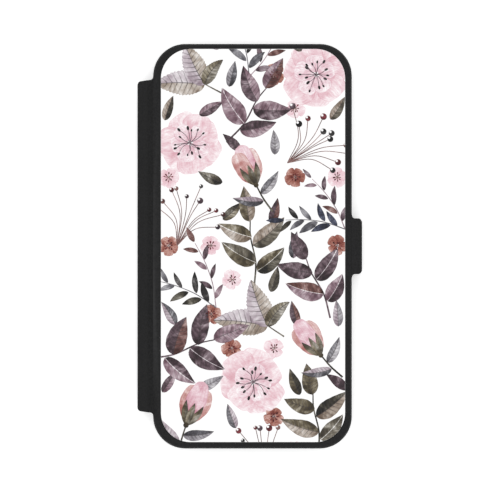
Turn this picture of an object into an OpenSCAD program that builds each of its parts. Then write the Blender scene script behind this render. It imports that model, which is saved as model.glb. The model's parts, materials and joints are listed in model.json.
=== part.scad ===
// Book-style phone wallet, lying closed on its back.
// X runs across the covers with the spine at -X, Y along them with the phone's top at +Y,
// and Z from the back cover up to the printed front cover. Millimetres.

/* [Covers] */
// Width of the front and back covers
cover_w = 75.5; // [75:0.5:80]
// Length of the covers
cover_l = 153.8; // [152:0.2:160]
// Radius of the covers' corners
cover_r = 12.2; // [11:0.1:14]
// Thickness of the synthetic leather skin
skin_t = 0.7; // [0.5:0.1:0.9]
// Thickness of the stiff board inside each cover
board_t = 1.0; // [0.8:0.1:1.4]
// Thickness of the lining
lining_t = 0.4; // [0.3:0.1:0.5]

/* [Printed panel] */
// Width of the printed panel
print_w = 70; // [66:0.5:71]
// Length of the printed panel
print_l = 149.4; // [140:0.2:150]
// Radius of the panel's corners
print_r = 11.2; // [9:0.1:12]
// Thickness of the printed panel
print_t = 0.5; // [0.3:0.1:0.6]
// Height by which the panel stands above the leather
print_proud = 0.1; // [0:0.05:0.2]
// Shift of the panel's centre towards the strap
print_shift_x = 0.2; // [-0.5:0.05:0.5]
// Shift of the panel's centre towards the top
print_shift_y = 0.28; // [-0.5:0.02:0.5]

/* [Spine] */
// Length of the spine along the covers
spine_l = 126.4; // [120:0.2:127]
// How far the spine stands out past the covers
spine_out = 6.0; // [5.6:0.1:6.5]

/* [Strap] */
// Width of the strap along the cover's edge
strap_w = 21.2; // [18:0.2:26]
// How far the strap stands out past the covers
strap_out = 3.75; // [3.6:0.05:4.5]
// Length of the strap's tip under the back cover
strap_reach = 20; // [17:0.5:24]
// Thickness of the strap's tip
strap_tip_t = 2.0; // [1.8:0.1:2.4]
// Side of the strap's square magnet
magnet_w = 12; // [8:0.5:13]
// Thickness of the strap's magnet
magnet_t = 0.8; // [0.6:0.1:0.9]

/* [Phone] */
// Width of the space for the phone
phone_w = 71.9; // [71:0.1:72.2]
// Length of the space for the phone
phone_l = 147.4; // [146:0.1:148]
// Depth of the space for the phone
phone_t = 8.0; // [7.6:0.1:8.4]
// Corner radius of the space for the phone
phone_r = 11; // [9:0.5:12]

/* [Phone tray] */
// Wall thickness of the tray
wall_t = 1.3; // [1.2:0.1:1.4]
// Floor thickness of the tray
floor_t = 1.0; // [0.8:0.1:1.4]
// Thickness of the lip that holds the phone in
lip_t = 0.6; // [0.4:0.1:0.8]
// How far the lip reaches over the phone
lip_in = 1.1; // [0.6:0.1:1.4]
// Width of the camera window
window_w = 32; // [26:0.5:33]
// Length of the camera window
window_l = 34; // [26:0.5:35]
// Corner radius of the camera window
window_r = 9; // [6:0.5:10]
// Centre of the camera window, across from the covers' centre
window_x = 18.2; // [16:0.1:18.4]
// Centre of the camera window, along from the covers' centre
window_y = 54.2; // [50:0.1:54.4]

/* [Buttons] */
// Length of a button pad
button_l = 11.4; // [9:0.2:13]
// Width of a button pad
button_w = 2.6; // [2:0.1:3]
// How far a button presses in
button_travel = 0.4; // [0.3:0.05:0.4]
// Place of the volume up pad along the phone
volume_up_y = 38; // [34:0.5:42]
// Place of the volume down pad along the phone
volume_down_y = 23.5; // [18:0.5:25]
// Place of the side button pad along the phone
side_button_y = 29; // [20:0.5:34]

/* [Pockets] */
// Thickness of the note pocket's panel
note_t = 0.4; // [0.3:0.1:0.5]
// Thickness of a card pocket's panel
card_t = 0.5; // [0.4:0.1:0.6]
// Length of a card pocket along the cover
card_l = 94; // [90:0.5:100]
// Step from one card slot's edge to the next
card_step = 9; // [7:0.5:11]
// Radius of the thumb notch in a card slot's edge
notch_r = 8; // [6:0.5:10]

/* [Hidden] */

$fn = 96;
eps = 0.01;

// The two skins on each other, as at the spine and the strap.
fold_t = skin_t + lining_t;

// Heights, from the strap's tip at the bottom to the printed panel at the top.
tip_gap = 0.2;
adhesive_t = 0.2;
pocket_gap = 0.3;
card_count = 3;
back_z = strap_tip_t + tip_gap;
cover_t = skin_t + board_t + lining_t;
tray_z = back_z + cover_t + adhesive_t;
phone_z = tray_z + floor_t;
lip_z = phone_z + phone_t;
pockets_z = lip_z + lip_t + pocket_gap;
pockets_t = note_t + card_count * card_t;
front_z = pockets_z + pockets_t + cover_t;

// The covers' centre, which puts the whole outline's centre at x = 0.
cover_x = (spine_out - strap_out) / 2;
side_x = cover_w / 2;

// Clearance round the printed panel in its recess.
print_clear = 0.2;

// Spine creases in the XZ plane: two strips lean together at the middle crease, and the three
// creases turn through 60 degrees each.
crease_low_z = back_z + fold_t / 2;
crease_high_z = front_z - fold_t / 2;
strip_l = (crease_high_z - crease_low_z) / (2 * sin(60));
bow_x = -side_x - spine_out + fold_t / 2;
crease_x = bow_x + strip_l * cos(60);
bow_z = (crease_low_z + crease_high_z) / 2;
strip_starts = [[crease_x, crease_low_z], [bow_x, bow_z]];
strip_angles = [120, 60];
// Strip ends stop short of the crease so that they clear each other over the whole fold.
crease_gap = 0.38;
// The spine's ends draw in a little where it stands out most.
spine_draw = 0.3;
tab_end_x = crease_x + crease_gap;
tab_fillet = 0.7;

// Strap: two quarter bends with a straight bridge between them.
bend_r = 2.45;
bend_x = side_x + strap_out - bend_r;
strap_fillet = 1.3;
strap_corner_r = 0.8;
tip_corner_r = 5;
tip_end_x = side_x + strap_out - strap_reach - bend_r;
tip_thick_x = 36.5;
magnet_x = tip_end_x + 4.5 + magnet_w / 2;
// Half the gap at the middle of a bend, as an angle seen from the bend's centre.
bend_gap = 17;

// Tray outline and windows.
tray_w = phone_w + 2 * wall_t;
tray_l = phone_l + 2 * wall_t;
tray_r = phone_r + wall_t;
button_z = phone_z + 4.2;
button_proud = 0.5;
button_clear = 0.3;
flange_t = 0.4;
flange_w = 0.7;
port_size = [14, 5.4];
port_z = phone_z + 4.0;
speaker_w = 10;
speaker_h = 2.2;
speaker_x = 17;
switch_y = 51.5;
switch_size = [7.5, 3.8];

// Pockets.
card_right_x = 31;
note_margin = 4;
note_left_x = -30;
note_right_x = 34;
first_slot_x = -24;

leather = [0.16, 0.16, 0.16];
lining_grey = [0.2, 0.2, 0.2];
board_grey = [0.45, 0.42, 0.38];
flexible_black = [0.11, 0.11, 0.12];
steel = [0.7, 0.7, 0.72];
paper_white = [0.95, 0.94, 0.94];
tape_grey = [0.75, 0.75, 0.75];

// ---- shared shapes ----

module placed() {
  translate([cover_x, 0, 0]) children();
}

module round_plate(w, l, r) {
  square([w - 2 * r, l], center = true);
  square([w, l - 2 * r], center = true);
  for (x = [-1, 1], y = [-1, 1])
    translate([x * (w / 2 - r), y * (l / 2 - r)]) circle(r);
}

// A concave fillet in the corner at the origin, filling towards +X and +Y.
module corner_fill(r) {
  difference() {
    translate([-eps, -eps]) square(r + eps);
    translate([r, r]) circle(r);
  }
}

module cover_outline() {
  round_plate(cover_w, cover_l, cover_r);
  translate([tab_end_x, -spine_l / 2]) square([-side_x - tab_end_x + eps, spine_l]);
  for (y = [-1, 1])
    translate([-side_x, y * spine_l / 2])
      mirror([1, 0]) mirror([0, y < 0 ? 1 : 0]) corner_fill(tab_fillet);
}

module window_outline(grow = 0) {
  translate([window_x, window_y])
    round_plate(window_w + 2 * grow, window_l + 2 * grow, window_r + grow);
}

// A cover's skin with its outer face at z = 0 and the board's recess above it.
module cover_skin() {
  difference() {
    union() {
      linear_extrude(skin_t) cover_outline();
      linear_extrude(skin_t + board_t) round_plate(cover_w, cover_l, cover_r);
    }
    translate([0, 0, skin_t])
      linear_extrude(board_t + 1)
        round_plate(cover_w - 2 * skin_t, cover_l - 2 * skin_t, cover_r - skin_t);
    translate([-side_x - 1, -spine_l / 2, skin_t])
      cube([skin_t + 2, spine_l, board_t + 1]);
  }
}

module cover_board() {
  linear_extrude(board_t)
    round_plate(cover_w - 2 * skin_t, cover_l - 2 * skin_t, cover_r - skin_t);
}

// A cover's lining: the sheet on the board, and the step down to the spine's first crease.
module cover_lining() {
  inset = lining_t - eps;
  step_z = skin_t + board_t;
  translate([0, 0, step_z])
    linear_extrude(lining_t)
      round_plate(cover_w - 2 * inset, cover_l - 2 * inset, cover_r - inset);
  translate([-side_x, -spine_l / 2, skin_t])
    cube([lining_t, spine_l, board_t + lining_t]);
  translate([tab_end_x, -spine_l / 2, skin_t])
    cube([-side_x - tab_end_x + lining_t, spine_l, lining_t]);
}

module at_back() {
  placed() translate([0, 0, back_z]) children();
}

module at_front() {
  placed() translate([0, 0, front_z]) mirror([0, 0, 1]) children();
}

// One layer of a spine strip, between two distances from the fold's middle surface.
module spine_strip(i, low, high) {
  half = spine_l / 2;
  start_half = i == 0 ? half : half - spine_draw;
  end_half = i == 1 ? half : half - spine_draw;
  placed()
    translate([strip_starts[i].x, 0, strip_starts[i].y])
      rotate([0, -strip_angles[i], 0])
        translate([0, 0, low])
          linear_extrude(high - low)
            polygon([
              [crease_gap, -start_half],
              [strip_l - crease_gap, -end_half],
              [strip_l - crease_gap, end_half],
              [crease_gap, start_half]
            ]);
}

module spine_skin(i) {
  color(leather) spine_strip(i, fold_t / 2 - skin_t, fold_t / 2);
}

module spine_lining(i) {
  color(lining_grey) spine_strip(i, -fold_t / 2, -fold_t / 2 + lining_t);
}

// A wedge of a ring, from angle a to angle b, for spans under 90 degrees.
module ring_part(r_out, r_in, a, b) {
  far = 2 * r_out;
  intersection() {
    difference() {
      circle(r_out);
      circle(r_in);
    }
    polygon([[0, 0], far * [cos(a), sin(a)], far * [cos(b), sin(b)]]);
  }
}

// Extrudes an XZ outline along the strap's width.
module across_strap() {
  placed()
    translate([0, strap_w / 2, 0])
      rotate([90, 0, 0])
        linear_extrude(strap_w) children();
}

// The strap's straight bridge and the halves of both bends that turn with it.
module bridge_outline(outer, inner) {
  low_z = bend_r;
  high_z = front_z - bend_r;
  r_out = bend_r - outer;
  r_in = bend_r - inner;
  translate([bend_x + r_in, low_z]) square([inner - outer, high_z - low_z]);
  translate([bend_x, high_z]) ring_part(r_out, r_in, 0, 45 - bend_gap);
  translate([bend_x, low_z]) ring_part(r_out, r_in, bend_gap - 45, 0);
}

// Keeps the strap inside a plan outline with rounded outer corners.
module strap_plan() {
  reach = 30;
  intersection() {
    children();
    placed()
      translate([side_x + strap_out - reach / 2, 0, -1])
        linear_extrude(front_z + 2) round_plate(reach, strap_w, strap_corner_r);
  }
}

module tip_plan(x0, x1, r) {
  intersection() {
    translate([(x0 + x1) / 2 + r, 0]) round_plate(x1 - x0 + 2 * r, strap_w, r);
    translate([x0 - 1, -strap_w]) square([x1 - x0 + 1, 2 * strap_w]);
  }
}

// A button pad with its flange, pointing out along +X from the tray's inner wall.
module button_pad() {
  pad_x = button_travel + eps;
  pad_h = wall_t - pad_x + button_proud;
  translate([pad_x, 0, 0])
    rotate([90, 0, 90]) {
      linear_extrude(flange_t)
        round_plate(button_l + flange_w, button_w + flange_w, (button_w + flange_w) / 2 - eps);
      linear_extrude(pad_h) round_plate(button_l, button_w, button_w / 2 - eps);
    }
}

// The stepped window for a button pad, cut from the tray's inner wall outwards.
module button_window() {
  deep = button_travel + flange_t + 2 * eps;
  wide = button_w + flange_w + button_clear;
  rotate([90, 0, 90]) {
    translate([0, 0, -1])
      linear_extrude(deep + 1) round_plate(button_l + flange_w + button_clear, wide, wide / 2 - eps);
    linear_extrude(wall_t + 1)
      round_plate(button_l + button_clear, button_w + button_clear, button_w / 2);
  }
}

// Puts a button's shape on the tray's inner wall: side is 1 at +X and -1 at the spine.
module at_button(side, y) {
  translate([side * phone_w / 2, y, button_z])
    mirror([side < 0 ? 1 : 0, 0, 0]) children();
}

// ---- back cover ----

module back_skin() {
  color(leather)
    at_back()
      difference() {
        union() {
          cover_skin();
          linear_extrude(skin_t + board_t) window_outline(skin_t);
        }
        translate([0, 0, -1]) linear_extrude(cover_t + 2) window_outline();
      }
}

module back_board() {
  color(board_grey)
    at_back()
      translate([0, 0, skin_t])
        difference() {
          cover_board();
          translate([0, 0, -1]) linear_extrude(board_t + 2) window_outline(skin_t);
          translate([magnet_x, 0, 0]) cube([magnet_w, magnet_w, 2 * magnet_t], center = true);
        }
}

module back_keeper() {
  color(steel)
    at_back()
      translate([magnet_x - magnet_w / 2, -magnet_w / 2, skin_t])
        cube([magnet_w, magnet_w, magnet_t]);
}

module back_lining() {
  color(lining_grey)
    at_back()
      difference() {
        cover_lining();
        linear_extrude(cover_t + 1) window_outline();
      }
}

module tray_adhesive() {
  margin = 8;
  color(tape_grey)
    placed()
      translate([0, 0, tray_z - adhesive_t])
        linear_extrude(adhesive_t)
          difference() {
            round_plate(tray_w - margin, tray_l - margin, tray_r - margin / 2);
            window_outline(2);
          }
}

// ---- phone tray and its buttons ----

module phone_tray() {
  color(flexible_black)
    placed()
      difference() {
        translate([0, 0, tray_z])
          linear_extrude(lip_z + lip_t - tray_z) round_plate(tray_w, tray_l, tray_r);
        translate([0, 0, phone_z])
          linear_extrude(phone_t) round_plate(phone_w, phone_l, phone_r);
        translate([0, 0, lip_z - eps])
          linear_extrude(lip_t + 1)
            round_plate(phone_w - 2 * lip_in, phone_l - 2 * lip_in, phone_r - lip_in);
        translate([0, 0, tray_z - 1]) linear_extrude(floor_t + 2) window_outline(0.5);
        at_button(-1, volume_up_y) button_window();
        at_button(-1, volume_down_y) button_window();
        at_button(1, side_button_y) button_window();
        at_button(-1, switch_y)
          rotate([90, 0, 90])
            translate([0, 0, -1])
              linear_extrude(wall_t + 2)
                round_plate(switch_size.x, switch_size.y, switch_size.y / 2 - eps);
        edge_window(0, -1, port_size, port_z);
        for (x = [-1, 1])
          edge_window(x * speaker_x, -1, [speaker_w, speaker_h], port_z);
        edge_window(-speaker_x, 1, [speaker_h, speaker_h], port_z);
      }
}

// A round-ended window through the tray's end wall: end is 1 at the top and -1 at the bottom.
module edge_window(x, end, size, z) {
  translate([x, end * (phone_l / 2 + wall_t / 2), z])
    rotate([90, 0, 0])
      linear_extrude(wall_t + 1, center = true)
        round_plate(size.x, size.y, size.y / 2 - eps);
}

module volume_up_button() {
  color(flexible_black) placed() at_button(-1, volume_up_y) button_pad();
}

module volume_down_button() {
  color(flexible_black) placed() at_button(-1, volume_down_y) button_pad();
}

module side_button() {
  color(flexible_black) placed() at_button(1, side_button_y) button_pad();
}

// ---- front cover ----

// The first half of the strap's top bend belongs to the front cover.
module strap_root(outer, inner, start_x) {
  r_out = bend_r - outer;
  r_in = bend_r - inner;
  strap_plan()
    across_strap() {
      translate([start_x, front_z - inner]) square([bend_x - start_x, inner - outer]);
      translate([bend_x, front_z - bend_r]) ring_part(r_out, r_in, 45 + bend_gap, 90);
    }
}

module front_skin() {
  color(leather) {
    difference() {
      union() {
        at_front() cover_skin();
        strap_root(0, skin_t, side_x - skin_t);
        placed()
          translate([side_x, 0, front_z - skin_t])
            linear_extrude(skin_t)
              for (y = [-1, 1])
                translate([0, y * strap_w / 2])
                  mirror([0, y < 0 ? 1 : 0]) corner_fill(strap_fillet);
      }
      placed()
        translate([print_shift_x, print_shift_y, front_z - print_t + print_proud])
          linear_extrude(print_t)
            round_plate(print_w + 2 * print_clear, print_l + 2 * print_clear, print_r + print_clear);
    }
  }
}

module print_panel() {
  color(paper_white)
    placed()
      translate([print_shift_x, print_shift_y, front_z - print_t + print_proud])
        linear_extrude(print_t) round_plate(print_w, print_l, print_r);
}

module front_board() {
  color(board_grey) at_front() translate([0, 0, skin_t]) cover_board();
}

module front_lining() {
  color(lining_grey) at_front() cover_lining();
}

module note_pocket() {
  note_w = note_right_x - note_left_x;
  color(lining_grey)
    placed()
      translate([(note_left_x + note_right_x) / 2, 0, pockets_z + pockets_t - note_t])
        linear_extrude(note_t) round_plate(note_w, cover_l - 2 * note_margin, 8);
}

// A card pocket's panel, stitched at its right and ends, open at its left with a thumb notch.
module card_pocket(i) {
  slot_x = first_slot_x + i * card_step;
  color(leather)
    placed()
      translate([0, 0, pockets_z + pockets_t - note_t - (i + 1) * card_t])
        difference() {
          translate([slot_x, -card_l / 2, 0]) cube([card_right_x - slot_x, card_l, card_t]);
          translate([slot_x, 0, -1]) cylinder(h = card_t + 2, r = notch_r);
        }
}

// ---- strap ----

module strap_root_lining() {
  color(lining_grey) strap_root(skin_t, fold_t, side_x + eps);
}

module strap_bridge_skin() {
  color(leather) strap_plan() across_strap() bridge_outline(0, skin_t);
}

module strap_bridge_lining() {
  color(lining_grey) strap_plan() across_strap() bridge_outline(skin_t, fold_t);
}

module tip_bend(outer, inner) {
  strap_plan()
    across_strap()
      translate([bend_x, bend_r])
        ring_part(bend_r - outer, bend_r - inner, 270, 315 - bend_gap);
}

module strap_tip_skin() {
  color(leather) {
    placed() linear_extrude(skin_t) tip_plan(tip_end_x, bend_x + eps, tip_corner_r);
    tip_bend(0, skin_t);
  }
}

module strap_tip_lining() {
  color(lining_grey)
    difference() {
      union() {
        placed()
          translate([0, 0, skin_t])
            linear_extrude(strap_tip_t - skin_t) tip_plan(tip_end_x, tip_thick_x, tip_corner_r);
        placed()
          translate([tip_thick_x - eps, -strap_w / 2, skin_t])
            cube([bend_x - tip_thick_x + 2 * eps, strap_w, lining_t]);
        tip_bend(skin_t, fold_t);
      }
      placed()
        translate([magnet_x - magnet_w / 2, -magnet_w / 2, skin_t - eps])
          cube([magnet_w, magnet_w, magnet_t + eps]);
    }
}

module strap_magnet() {
  color(steel)
    placed()
      translate([magnet_x - magnet_w / 2, -magnet_w / 2, skin_t])
        cube([magnet_w, magnet_w, magnet_t]);
}

back_skin();
back_board();
back_lining();
back_keeper();
tray_adhesive();
phone_tray();
volume_up_button();
volume_down_button();
side_button();
spine_skin(0);  // spine_skin_lower
spine_lining(0);  // spine_lining_lower
spine_skin(1);  // spine_skin_upper
spine_lining(1);  // spine_lining_upper
front_skin();
print_panel();
front_board();
front_lining();
note_pocket();
card_pocket(0);  // card_pocket_1
card_pocket(1);  // card_pocket_2
card_pocket(2);  // card_pocket_3
strap_root_lining();
strap_bridge_skin();
strap_bridge_lining();
strap_tip_skin();
strap_tip_lining();
strap_magnet();
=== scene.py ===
import json
import math
import random
import bpy
import bmesh
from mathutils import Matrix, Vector
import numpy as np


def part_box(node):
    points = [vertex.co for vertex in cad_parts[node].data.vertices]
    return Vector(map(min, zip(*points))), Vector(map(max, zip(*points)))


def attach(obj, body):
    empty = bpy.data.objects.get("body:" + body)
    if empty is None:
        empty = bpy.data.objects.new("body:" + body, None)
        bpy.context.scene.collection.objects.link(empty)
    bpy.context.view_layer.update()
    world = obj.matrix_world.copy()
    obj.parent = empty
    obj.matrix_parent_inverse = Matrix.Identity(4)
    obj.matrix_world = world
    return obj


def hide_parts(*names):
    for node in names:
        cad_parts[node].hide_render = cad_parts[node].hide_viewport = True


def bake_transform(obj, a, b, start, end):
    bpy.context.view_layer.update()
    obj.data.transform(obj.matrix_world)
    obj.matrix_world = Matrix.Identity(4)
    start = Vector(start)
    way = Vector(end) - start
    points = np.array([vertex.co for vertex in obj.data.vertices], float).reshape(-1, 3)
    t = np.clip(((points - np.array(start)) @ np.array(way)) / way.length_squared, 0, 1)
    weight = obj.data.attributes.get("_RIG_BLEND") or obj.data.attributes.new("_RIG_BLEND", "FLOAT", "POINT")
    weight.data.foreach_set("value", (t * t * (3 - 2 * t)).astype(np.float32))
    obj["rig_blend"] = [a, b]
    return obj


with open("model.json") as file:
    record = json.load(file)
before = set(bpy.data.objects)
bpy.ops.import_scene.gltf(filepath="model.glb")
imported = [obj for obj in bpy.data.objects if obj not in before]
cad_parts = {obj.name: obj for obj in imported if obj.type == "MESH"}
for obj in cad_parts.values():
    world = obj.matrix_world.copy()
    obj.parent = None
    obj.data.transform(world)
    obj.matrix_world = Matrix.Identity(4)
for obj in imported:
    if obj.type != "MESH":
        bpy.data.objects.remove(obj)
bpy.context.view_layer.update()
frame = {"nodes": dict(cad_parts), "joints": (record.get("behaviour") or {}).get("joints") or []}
print("frame loaded:", len(frame["nodes"]), "nodes")

# Lengths below are millimetres; meshes are written in metres.
mm = 0.001


def heightOf(node, end):
    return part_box(node)[end].z / mm


coverX = (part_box("front_board")[0].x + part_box("front_board")[1].x) / 2 / mm
frontTop = heightOf("front_skin", 1)
backBottom = heightOf("back_skin", 0)


# shader helpers

class Value:
    # a number inside a shader; the usual operators on it add Math nodes
    def __init__(self, shader, socket):
        self.shader = shader
        self.socket = socket

    def __add__(self, other):
        return self.shader.calc("ADD", self, other)

    def __sub__(self, other):
        return self.shader.calc("SUBTRACT", self, other)

    def __rsub__(self, other):
        return self.shader.calc("SUBTRACT", other, self)

    def __mul__(self, other):
        return self.shader.calc("MULTIPLY", self, other)

    def __abs__(self):
        return self.shader.calc("ABSOLUTE", self)

    __radd__ = __add__
    __rmul__ = __mul__


class Shader:
    def __init__(self, name):
        self.material = bpy.data.materials.new(name)
        self.material.use_nodes = True
        self.tree = self.material.node_tree
        self.tree.nodes.clear()

    # any node: its settings first, then the values or links of its sockets
    def node(self, kind, settings=None, sockets=None):
        made = self.tree.nodes.new(kind)
        for key, value in (settings or {}).items():
            setattr(made, key, value)
        for key, value in (sockets or {}).items():
            found = [s for s in made.inputs if s.identifier == key]
            socket = found[0] if found else made.inputs[key]
            if isinstance(value, Value):
                value = value.socket
            if isinstance(value, bpy.types.NodeSocket):
                self.tree.links.new(value, socket)
            elif socket.type == "RGBA" and len(value) == 3:
                socket.default_value = (*value, 1)
            else:
                socket.default_value = value
        return made

    def out(self, node, output=0):
        return Value(self, node.outputs[output])

    def calc(self, operation, *parts):
        return self.out(self.node("ShaderNodeMath", {"operation": operation}, dict(enumerate(parts))))

    def step(self, value, low, high):
        return self.out(self.node("ShaderNodeMapRange", {"interpolation_type": "SMOOTHSTEP"},
                                  {"Value": value, "From Min": low, "From Max": high}))

    def mix(self, factor, a, b, blend="MIX"):
        made = self.node("ShaderNodeMix", {"data_type": "RGBA", "blend_type": blend},
                         {"Factor_Float": factor, "A_Color": a, "B_Color": b})
        return made.outputs[2]

    def attribute(self, name):
        return self.node("ShaderNodeAttribute", {"attribute_name": name})

    def parts(self, name):
        split = self.node("ShaderNodeSeparateXYZ", None, {0: self.attribute(name).outputs["Vector"]})
        return [self.out(split, i) for i in range(3)]

    def place(self, stretch=(1, 1, 1)):
        if not hasattr(self, "coords"):
            self.coords = self.node("ShaderNodeTexCoord").outputs["Object"]
        if stretch == (1, 1, 1):
            return self.coords
        return self.node("ShaderNodeMapping", None, {"Vector": self.coords, "Scale": stretch}).outputs[0]

    # noise whose features are about size millimetres across
    def noise(self, size, detail=2, stretch=(1, 1, 1), rough=0.5):
        return self.out(self.node("ShaderNodeTexNoise", None, {
            "Vector": self.place(stretch), "Scale": 1 / (size * mm), "Detail": detail, "Roughness": rough}))

    # pebbles about size millimetres across
    def pebbles(self, size):
        return self.out(self.node("ShaderNodeTexVoronoi", {"feature": "SMOOTH_F1"}, {
            "Vector": self.place(), "Scale": 1 / (size * mm), "Smoothness": 0.6}))

    def bump(self, height, depth, strength=1):
        return self.node("ShaderNodeBump", None, {
            "Height": height, "Strength": strength, "Distance": depth * mm}).outputs[0]

    def finish(self, colour, roughness, normal=None, **fixed):
        sockets = {"Base Color": colour, "Roughness": roughness}
        if normal:
            sockets["Normal"] = normal
        sockets.update({key.replace("_", " "): value for key, value in fixed.items()})
        surface = self.node("ShaderNodeBsdfPrincipled", None, sockets)
        self.node("ShaderNodeOutputMaterial", None, {"Surface": surface.outputs[0]})
        return self.material


def linear(*screen):
    return tuple((c / 255 / 12.92) if c < 10.3 else ((c / 255 + 0.055) / 1.055) ** 2.4 for c in screen)


def grey(value):
    return (value, value, value * 1.02)


# materials

leatherLook = {"base": 0.0215, "worn": 0.036, "grainSize": 0.6, "grainDepth": 0.06, "roughness": 0.76,
               "gloss": 0.05}
# the spine's leather: the cover leather with painted shade, its base and worn colours darker; it is also rougher,
# with shallower grain
shadedFoldLook = {**leatherLook, "base": 0.0185, "worn": 0.03, "grainDepth": 0.045, "roughness": 0.84}


def leatherMaterial(name, look, lift=1.0):
    s = Shader(name)
    wear = s.out(s.attribute("wear"), 2)
    crease = s.out(s.attribute("crease"), 2)
    grain = s.pebbles(look["grainSize"])
    pores = s.noise(0.16, 3)
    tone = s.noise(14, 3)
    rubbed = s.step(wear * (0.6 + 0.8 * s.noise(1.6, 3)), 0.25, 1.0)
    lines = s.noise(0.5, 3, stretch=(1, 0.06, 1))
    shade = s.mix(tone, grey(look["base"] * 0.84 * lift), grey(look["base"] * 1.16 * lift))
    shade = s.mix(s.step(grain, 0.25, 0.75) * 0.6, shade, grey(look["base"] * 0.6 * lift))
    shade = s.mix(rubbed, shade, grey(look["worn"] * lift))
    rough = look["roughness"] + 0.10 * (s.noise(3, 3) - 0.5) - 0.10 * rubbed
    height = grain * -1 + pores * 0.5 + crease * (lines - 0.5) * 1.2
    return s.finish(shade, rough, s.bump(height, look["grainDepth"]), Specular_IOR_Level=look["gloss"])


def liningMaterial(name, base):
    s = Shader(name)
    fibre = s.noise(0.12, 4, rough=0.7)
    brushed = s.noise(5, 3, stretch=(1, 0.35, 1))
    shade = s.mix(fibre, grey(base * 0.55), grey(base * 1.5))
    shade = s.mix(s.step(brushed, 0.35, 0.7) * 0.4, shade, grey(base * 1.7))
    return s.finish(shade, 0.86 + 0.1 * fibre, s.bump(fibre, 0.05), Specular_IOR_Level=0.15,
                    Sheen_Weight=0.25, Sheen_Roughness=0.4)


def mouldedMaterial(name, base, rough):
    s = Shader(name)
    spark = s.noise(0.09, 3)
    shade = s.mix(s.noise(9, 2), grey(base * 0.85), grey(base * 1.15))
    shade = s.mix(s.step(spark, 0.5, 0.8) * 0.4, shade, grey(base * 1.6))
    return s.finish(shade, rough + 0.12 * (s.noise(6, 3) - 0.5), s.bump(spark, 0.012), Specular_IOR_Level=0.4)


def boardMaterial(name):
    s = Shader(name)
    fibre = s.noise(0.4, 5, stretch=(1, 0.4, 1), rough=0.65)
    return s.finish(s.mix(fibre, linear(118, 110, 98), linear(160, 152, 140)), 0.85 + 0.1 * fibre,
                    s.bump(fibre, 0.04))


def steelMaterial(name):
    s = Shader(name)
    brush = s.noise(0.15, 3, stretch=(0.03, 1, 1))
    return s.finish(s.mix(brush, linear(150, 150, 152), linear(196, 196, 200)), 0.28 + 0.2 * brush,
                    s.bump(brush, 0.01), Metallic=1.0)


def tapeMaterial(name):
    s = Shader(name)
    cloud = s.noise(2.5, 4)
    return s.finish(s.mix(cloud, linear(180, 180, 178), linear(214, 214, 210)), 0.5 + 0.2 * cloud)


def threadMaterial(name, base):
    s = Shader(name)
    ply = s.noise(0.12, 2)
    return s.finish(s.mix(ply, grey(base * 0.6), grey(base * 1.5)), 0.7 + 0.15 * ply, s.bump(ply, 0.03))


def paperMaterial(name):
    s = Shader(name)
    tooth = s.noise(0.35, 4, rough=0.6)
    warm = s.mix(s.noise(20, 2), (0.915, 0.905, 0.905), (0.935, 0.93, 0.93))
    return s.finish(warm, 0.52 + 0.12 * (tooth - 0.5), s.bump(tooth, 0.008), Specular_IOR_Level=0.2)


# Watercolour: each wash is a transmittance, raised to the local density of pigment.
def inkMaterial(name):
    s = Shader(name)
    along, across, reach = s.parts("along")
    density, seed, streak = s.parts("flow")
    veins, spacing, ink = s.parts("rib")
    gap, edge, bleed = s.parts("mark")
    side = abs(across)
    isLeaf = s.step(veins, 0.5, 1.0)
    shifted = s.node("ShaderNodeVectorMath", {"operation": "ADD"}, {
        0: s.place(), 1: s.node("ShaderNodeCombineXYZ", None, {0: seed, 1: seed * 1.7}).outputs[0]}).outputs[0]
    pool = s.out(s.node("ShaderNodeTexNoise", None, {"Vector": shifted, "Scale": 230, "Detail": 2,
                                                     "Distortion": 0.8}))
    grain = s.noise(0.25, 3, rough=0.7)
    slant = along * veins - side * 0.95  # side veins leave the midrib at a slant

    def brush(x, y):
        at = s.node("ShaderNodeCombineXYZ", None, {0: x, 1: y, 2: seed * 40}).outputs[0]
        return s.out(s.node("ShaderNodeTexNoise", None, {"Vector": at, "Scale": 1, "Detail": 4,
                                                         "Roughness": 0.62}))

    strands = brush(along * 3.2, across * 8) * (1 - isLeaf) + brush(side * 1.6, slant * 1.8 + across) * isLeaf
    midrib = 1 - s.step(side * reach + 0.18 * (pool - 0.5), 0.04, 0.19)
    phase = s.calc("FRACT", slant + 0.35 * strands)
    vein = 1 - s.step(abs(phase - 0.5) * spacing, 0.06, 0.27)
    vein = vein * isLeaf * (1 - side * 0.75) * s.step(along, 0.03, 0.12)
    rim = s.step(side * reach + 0.12 * (strands - 0.5) - reach, -0.28, -0.02)
    crinkle = s.noise(0.4, 3, stretch=(0.4, 1.2, 1), rough=0.65)
    amount = density * (0.58 + 0.84 * s.step(pool, 0.3, 0.7)) + streak * (strands - 0.5) * 2.2
    amount = amount + (1 - isLeaf) * streak * (crinkle - 0.5) * 1.5
    amount = amount + (grain - 0.5) * 0.2 * bleed + edge * rim * 0.6
    amount = s.calc("MAXIMUM", amount * (1 - 0.9 * gap * midrib), 0.0)
    wash = s.node("ShaderNodeGamma", None, {"Color": s.attribute("wash").outputs["Color"], "Gamma": amount})
    paint = s.mix(1.0, (0.925, 0.917, 0.917), wash.outputs[0], "MULTIPLY")
    line = s.calc("MAXIMUM", (1 - gap) * midrib * 0.9, vein * (0.55 + 0.6 * strands))
    paint = s.mix(line * ink, paint, (0.035, 0.028, 0.03))
    return s.finish(paint, 0.5 + 0.1 * grain, s.bump(grain, 0.004), Specular_IOR_Level=0.2)


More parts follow.
